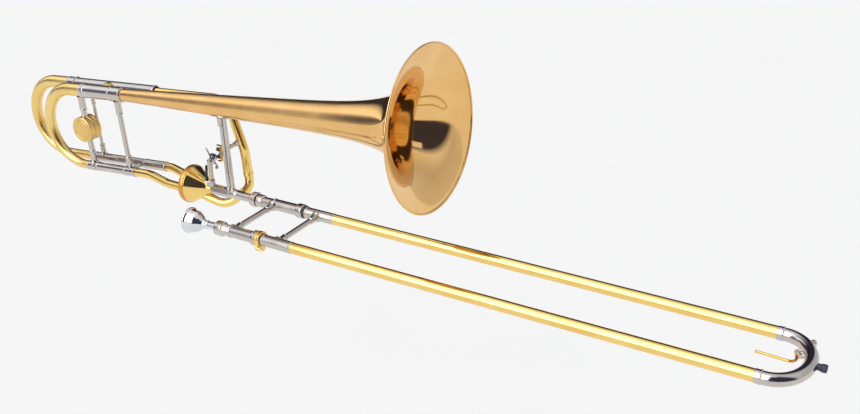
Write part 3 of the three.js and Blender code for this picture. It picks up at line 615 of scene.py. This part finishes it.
# ---- slide section -----------------------------------------------------------------------------
turned("lock_nut", "lock_nut", "nickel", REAR,
       [(-42.8, 8.4), (-41.8, 9.6), (-40.4, 10.6), (-39.6, 10.8), (-39.3, 10.3), (-38.7, 10.3),
        (-38.4, 10.9), (-34, 11), (-33.7, 10.5), (-33.1, 10.5), (-32.8, 11), (-31.5, 10.4)],
       ["lock_nut"], bore=7.2, edge=0.15)
turned("slide_receiver", "slide_section", "nickel", REAR,
       [(-30.9, 8.6), (-30, 9.3), (-22, 9.3), (-21, 8.8), (-20.6, 7.3), (-3.2, 7.3),
        *bead(-1, 8.2, 0.8, 1.6), (1.2, 8.2)], ["slide_receiver"], bore=6, edge=0.2)
turned("mouthpiece_receiver", "slide_section", "nickel", FRONT,
       [(-25.8, 8.8), (-25, 9.8), (-23.8, 10.3), (-18, 10.3), (-17.7, 9.8), (-17, 9.8),
        (-16.7, 10.3), (-13.6, 10.2), (-12.8, 8.5), (-2.8, 7.7), *bead(-0.8, 8.4, 0.8, 1.6),
        (1.2, 8.4)],
       ["mouthpiece_receiver"], bore=6.6, edge=0.2)
turned("cork_barrel_rear", "slide_section", "nickel", REAR,
       [(1, 8.2), (38.4, 8.3), (39.2, 9.8), (40.6, 10.4), (48.6, 10.4), (50, 9.6)],
       ["cork_barrel_rear"], bore=7.4)
turned("cork_barrel_front", "slide_section", "nickel", FRONT,
       [(1, 8.2), (36.6, 8.3), (37.4, 10), (38.6, 10.6), (42.8, 10.6), (43.6, 10), (43.8, 8.6),
        (52.8, 8.6)], ["cork_barrel_front"], bore=7.4)
for name, line, start, radius in (("felt_rear", REAR, 50.1, 9.2),
                                  ("felt_front", FRONT, 52.5, 8.5)):
    turned(name, "slide_section", "rubber", line, [(start, radius), (53.2, radius)], bore=7.4)
for name, line in (("inner_tube_rear", REAR), ("inner_tube_front", FRONT)):
    turned(name, "slide_section", "chrome", line, [(1.9, 6.8), (688.8, 6.8), (690, 6.6)], [name],
           bore=6.3)


def slide_crosspiece(name, body, x, tube, foot):
    """The tube between the slide's legs, with a flared socket at each end."""
    near = [(foot - 1.6, 8), (foot - 0.4, 7.6), (foot + 1.2, 6.2), (foot + 3.4, 5.2),
            (foot + 11, 5), *bead(foot + 12.2, 4.9, 0.4, 0.9), (foot + 13.4, tube)]
    far = [(SLIDE_WIDTH - along, radius) for along, radius in reversed(near)]
    turned(name, body, "nickel", (Vector((x, -SLIDE_WIDTH, 0)), SIDEWAYS), [*near, *far], [name])


slide_crosspiece("slide_brace", "slide_section", -1.5, 4.3, 8)
slide_crosspiece("hand_brace", "hand_slide", 73.5, 3.9, 7.4)
turned("slide_lock_ring", "slide_lock", "yellow", FRONT,
       [(44, 10.6), (44.8, 11.3), (46.4, 11.3), (46.8, 10.8), (49.6, 10.8), (50, 11.3),
        (51.6, 11.3), (52.4, 10.6)], ["slide_lock_ring"], bore=9, edge=0.2)
pipe("lock_catch", "slide_lock", "yellow",
     route([Vector((47, -104.5, -6)), Vector((48.5, -107, -9)), Vector((60.5, -107, -8.6)),
            Vector((61.5, -106.4, -4))], [2.5, 3], 8), (2.4, 1.7))
turned("lock_knob", "slide_lock", "yellow", (Vector((48.4, -105.2, -10)), Vector((0, -0.3, -1))),
       [(-3, 2.8), (1.6, 2.8), (2.4, 2.2)], edge=0.3, sides=32)

# ---- mouthpiece --------------------------------------------------------------------------------
turned("mouthpiece", "mouthpiece", "silver", FRONT,
       [(-74.9, 15.4), (-75.4, 16.4), (-75.1, 17.4), (-74.2, 18.1), (-72.8, 18.2), (-71.7, 17.7),
        (-71.1, 16.6), (-69.8, 16), (-66.8, 15.7), (-63.4, 15.3), (-60, 14.3), (-56.6, 12.5),
        (-53.6, 10.1), (-51, 7.9), (-48.6, 6.4), (-46.2, 5.6), (-43.9, 5.5), (-43.2, 6.1),
        (-42.2, 6.1), (-41.5, 5.5), (-26, 5.9), (-4, 5.4)], ["mouthpiece"],
       inside=[(-74.2, 14.4), (-70.4, 12.4), (-64.6, 10.6), (-58.6, 6.6), (-53, 3.2), (-44, 3.4),
               (-4, 4.4)], edge=0, sides=96)

# ---- hand slide --------------------------------------------------------------------------------
TUBE_END, TUBE_RADIUS, TUBE_BORE = 702.5, 7.65, 7.15
for side, line in (("rear", REAR), ("front", FRONT)):
    turned(f"stocking_{side}", "hand_slide", "nickel", line,
           [(53.3, 8.4), *bead(54.6, 8.2, 0.6, 1.1), (56, 8), (97.8, 8), *bead(99, 8, 0.3, 0.8),
            (100, 7.8)], [f"stocking_{side}"], bore=TUBE_BORE)
    turned(f"outer_tube_{side}", "hand_slide", "yellow", line,
           [(99.8, TUBE_RADIUS), (TUBE_END, TUBE_RADIUS)], [f"outer_tube_{side}"], bore=TUBE_BORE)
    turned(f"bow_ferrule_{side}", "hand_slide", "nickel", line,
           [(702.2, 7.9), (702.8, 8.2), (707.2, 8.2), *bead(708.7, 8.2, 0.5, 1.1), (710, 8)],
           [f"bow_ferrule_{side}"], bore=7.1)

BOW_START, BOW_DEPTH, BOW_EASE, BOW_TUBE = 710, 39, 1.5, 7.8


def bow_at(a):
    """A place on the bow's centre line, from the rear leg at 0 to the front leg at pi."""
    return Vector((BOW_START + BOW_EASE + (BOW_DEPTH - BOW_EASE) * math.sin(a),
                   SLIDE_WIDTH / 2 * (math.cos(a) - 1), 0))


bow_line = [bow_at(math.pi * k / 60) for k in range(61)]
pipe("slide_bow", "hand_slide", "nickel",
     [Vector((709, 0, 0)), *bow_line, Vector((709, -SLIDE_WIDTH, 0))], BOW_TUBE, ["slide_bow"], 48)
BOW_TIP = BOW_START + BOW_DEPTH + BOW_TUBE
turned("bow_bumper", "hand_slide", "rubber", (Vector((0, -SLIDE_WIDTH / 2, 0)), FORWARD),
       [(BOW_TIP - 1, 4), (BOW_TIP + 3, 4), (BOW_TIP + 3.9, 4.9), (BOW_TIP + 8.9, 4.9),
        (BOW_TIP + 9.7, 4.2)], ["bow_bumper"], edge=0.5, sides=12)

# ---- water key ---------------------------------------------------------------------------------
KEY_AXIS = Vector((-0.585, 0.811, 0)).normalized()
KEY_PIVOT = Vector((731.8, -26.2, -4.6))
KEY = (KEY_PIVOT, KEY_AXIS)
NIPPLE = math.radians(38)
nipple_out = Vector((math.sin(NIPPLE) / BOW_DEPTH, 2 * math.cos(NIPPLE) / SLIDE_WIDTH, 0))
nipple_out.normalize()
NIPPLE_LINE = (bow_at(NIPPLE), nipple_out)


def nipple_at(out, z):
    place = bow_at(NIPPLE) + nipple_out * out
    place.z = z
    return place


turned("water_key_saddle", "hand_slide", "nickel", KEY,
       [(3.7, 2.6), (4, 2.8), (5.3, 2.8), (5.6, 2.5)], ["water_key_saddle"], bore=0.8, edge=0.15)
turned("saddle_cheek", "hand_slide", "nickel", KEY,
       [(-5.6, 2.5), (-5.3, 2.8), (-4, 2.8), (-3.7, 2.6)], bore=0.8, edge=0.15)
turned("key_pin", "hand_slide", "nickel", KEY, [(-6.4, 1.2), (-5.9, 1.6), (-5.4, 1.1), (6, 1.1)],
       edge=0.1, sides=24)
for side, cheek in (("lower", -4.6), ("upper", 4.6)):
    foot = KEY_PIVOT + KEY_AXIS * cheek
    pipe(f"saddle_leg_{side}", "hand_slide", "nickel",
         [foot, foot + Vector((2.6, 1.9, 1.2)), foot + Vector((5.2, 3.8, 2.4))], (1.7, 2.3),
         sides=20)
turned("water_key_lever", "water_key", "amber", KEY,
       [(-3.5, 2.4), (-3, 2.7), (3, 2.7), (3.5, 2.4)], ["water_key_lever"], bore=1.3, edge=0.15)
TOUCH = Vector((690.6, -48.5, -1))
pipe("key_touch", "water_key", "amber",
     route([TOUCH, Vector((730.6, -50, -1.6)), Vector((732.6, -40, -3.4)),
            KEY_PIVOT + Vector((-1.6, -1, -1))], [7, 6], 12), (1.5, 1.9), sides=20)
turned("touch_tip", "water_key", "amber", (TOUCH, FORWARD),
       [(-0.9, 0.7), (-0.4, 1.4), (0.6, 1.6)], edge=0, sides=24)
hook_low = -BOW_TUBE - 3
pipe("key_hook", "water_key", "amber",
     route([KEY_PIVOT + Vector((0.6, 0.6, -1.4)), KEY_PIVOT + Vector((3.4, 4, -6)),
            nipple_at(13.4, hook_low), nipple_at(13.4, 0)], [2.5, 3], 8), (1.9, 1.6), sides=20)
turned("key_cup", "water_key", "nickel", NIPPLE_LINE,
       [(BOW_TUBE + 1.2, 3.4), (BOW_TUBE + 1.6, 3.6), (BOW_TUBE + 4.8, 3.4), (BOW_TUBE + 5.6, 2.6)],
       edge=0.3, sides=32)
turned("water_key_cork", "water_key", "cork", NIPPLE_LINE,
       [(BOW_TUBE + 0.3, 2.7), (BOW_TUBE + 0.6, 2.9), (BOW_TUBE + 1.4, 2.9)], ["water_key_cork"],
       edge=0.15, sides=32)
COIL_RADIUS, COIL_LENGTH, COIL_STEP, COIL_STEPS = 3.05, 4.8, 0.52, 60
key_side = Vector((KEY_AXIS.y, -KEY_AXIS.x, 0))
coil = [KEY_PIVOT + KEY_AXIS * COIL_LENGTH * (k / COIL_STEPS - 0.5)
        + (key_side * math.cos(k * COIL_STEP) + UP * math.sin(k * COIL_STEP)) * COIL_RADIUS
        for k in range(COIL_STEPS + 1)]
pipe("key_spring", "water_key", "nickel", coil, 0.35, sides=8)

# ---- floor, light and camera -------------------------------------------------------------------
FLOOR_LEVEL, FLOOR_HALF = -0.42, 20
FLOOR_GLOW = (0.82, 0.84)


def make_floor():
    """A pale sheet that glows evenly, as paper lit from below does."""
    half, level = FLOOR_HALF, FLOOR_LEVEL
    mesh = bpy.data.meshes.new("floor")
    mesh.from_pydata([(-half, -half, level), (half, -half, level), (half, half, level),
                      (-half, half, level)], [], [(0, 1, 2, 3)])
    floor = linked("floor", mesh)
    pale = bpy.data.materials.new("pale_floor")
    pale.use_nodes = True
    nodes, links = pale.node_tree.nodes, pale.node_tree.links
    shader = nodes["Principled BSDF"]
    speckle = nodes.new("ShaderNodeTexNoise")
    speckle.inputs["Scale"].default_value = 4
    links.new(nodes.new("ShaderNodeTexCoord").outputs["Object"], speckle.inputs["Vector"])
    sheet = nodes.new("ShaderNodeMapRange")
    for socket, value in zip((3, 4), FLOOR_GLOW):
        sheet.inputs[socket].default_value = value
    links.new(speckle.outputs["Fac"], sheet.inputs[0])
    shader.inputs["Base Color"].default_value = (0.1, 0.1, 0.1, 1)
    shader.inputs["Roughness"].default_value = 0.9
    shader.inputs["Specular IOR Level"].default_value = 0
    shader.inputs["Emission Color"].default_value = (1, 1, 1, 1)
    links.new(sheet.outputs[0], shader.inputs["Emission Strength"])
    mesh.materials.append(pale)


make_floor()


DARK_LEVEL, NAVY, PALE_BLUE = 0.25, 1.8, 1.06


def make_sky():
    """A studio of long lights and dark cloths that run beside the instrument.

    Each ramp goes over the top, from back to front, for one stretch of directions along X.
    """
    world = bpy.data.worlds.new("studio")
    scene.world = world
    world.use_nodes = True
    nodes, links = world.node_tree.nodes, world.node_tree.links
    split = nodes.new("ShaderNodeSeparateXYZ")
    links.new(nodes.new("ShaderNodeTexCoord").outputs["Generated"], split.inputs[0])

    def mathed(operation, first, second):
        made = nodes.new("ShaderNodeMath")
        made.operation = operation
        for socket, value in zip(made.inputs, (first, second)):
            if isinstance(value, (int, float)):
                socket.default_value = value
            else:
                links.new(value, socket)
        return made.outputs[0]

    over = mathed("DIVIDE", mathed("ARCTAN2", split.outputs["Z"], split.outputs["Y"]), math.pi)

    def ramp(stops):
        """Stops are degrees round from the horizon behind, over the top, to the one in front."""
        made = nodes.new("ShaderNodeValToRGB")
        elements = made.color_ramp.elements
        while len(elements) < len(stops):
            elements.new(0.5)
        for element, (degrees, level) in zip(elements, stops):
            element.position = degrees / 180
            blue = NAVY if level < DARK_LEVEL else PALE_BLUE
            element.color = (level, level * 1.01, level * blue, 1)
        links.new(over, made.inputs[0])
        return made.outputs["Color"]

    def between(source, low, high):
        made = nodes.new("ShaderNodeMapRange")
        made.inputs[1].default_value = low
        made.inputs[2].default_value = high
        links.new(source, made.inputs[0])
        return made.outputs[0]

    def blended(amount, first, second):
        made = nodes.new("ShaderNodeMix")
        made.data_type = "RGBA"
        links.new(amount, made.inputs[0])
        links.new(first, made.inputs[6])
        links.new(second, made.inputs[7])
        return made.outputs[2]

    slide_side = ramp([(0, 0.03), (40, 0.03), (50, 0.3), (62, 0.85), (80, 1), (104, 1.2),
                       (114, 1.7), (122, 3.4), (168, 3.2), (174, 1.2), (180, 0.6)])
    bell_side = ramp([(0, 0.02), (58, 0.02), (74, 0.22), (90, 0.55), (106, 1), (128, 1),
                      (140, 0.7), (150, 0.45), (170, 0.38), (176, 0.45), (180, 0.55)])
    far_side = ramp([(0, 0.03), (38, 0.04), (52, 0.5), (70, 1), (88, 1.25), (114, 1.35),
                     (124, 0.95), (133, 0.4), (146, 0.14), (166, 0.14), (175, 0.4), (180, 0.5)])
    right_back = ramp([(0, 0.7), (40, 0.6), (90, 0.9), (180, 0.9)])
    right_front = ramp([(0, 0.5), (58, 0.7), (72, 0.25), (82, 0.05), (180, 0.05)])
    slide_centre = -0.17
    away = mathed("ABSOLUTE", mathed("SUBTRACT", split.outputs["X"], slide_centre), 0)
    left = blended(between(away, 0.36, 0.39), slide_side, bell_side)
    left = blended(between(away, 0.49, 0.53), left, far_side)
    right = blended(between(split.outputs["Y"], -0.12, 0.12), right_front, right_back)
    links.new(blended(between(split.outputs["X"], 0.04, 0.2), left, right),
              nodes["Background"].inputs["Color"])


make_sky()


def softbox(name, place, target, size, power):
    light = bpy.data.lights.new(name, "AREA")
    light.shape = "RECTANGLE"
    light.size, light.size_y = size
    light.energy = power
    lamp = linked(name, light)
    aim = (Vector(target) - Vector(place)).to_track_quat("-Z", "Y")
    lamp.matrix_world = Matrix.Translation(place) @ aim.to_matrix().to_4x4()


softbox("overhead", place=(0.1, -0.5, 2.2), target=(0.1, 0, 0), size=(2.6, 0.6), power=4)


CAMERA_PLACE = (0.88840, -1.08914, 0.65130)
CAMERA_RIGHT = Vector((0.86621, 0.49955, -0.01109))
CAMERA_UP = Vector((-0.20530, 0.37604, 0.90357))
CAMERA_BACK = Vector((0.45555, -0.78041, 0.42829))
FOCAL_LENGTH = 45.27


def make_camera():
    lens = bpy.data.cameras.new("camera")
    lens.lens = FOCAL_LENGTH
    lens.sensor_width = 36
    lens.clip_end = 100
    camera = linked("camera", lens)
    turn = Matrix((CAMERA_RIGHT, CAMERA_UP, CAMERA_BACK)).transposed().to_4x4()
    camera.matrix_world = Matrix.Translation(CAMERA_PLACE) @ turn
    scene.camera = camera


make_camera()
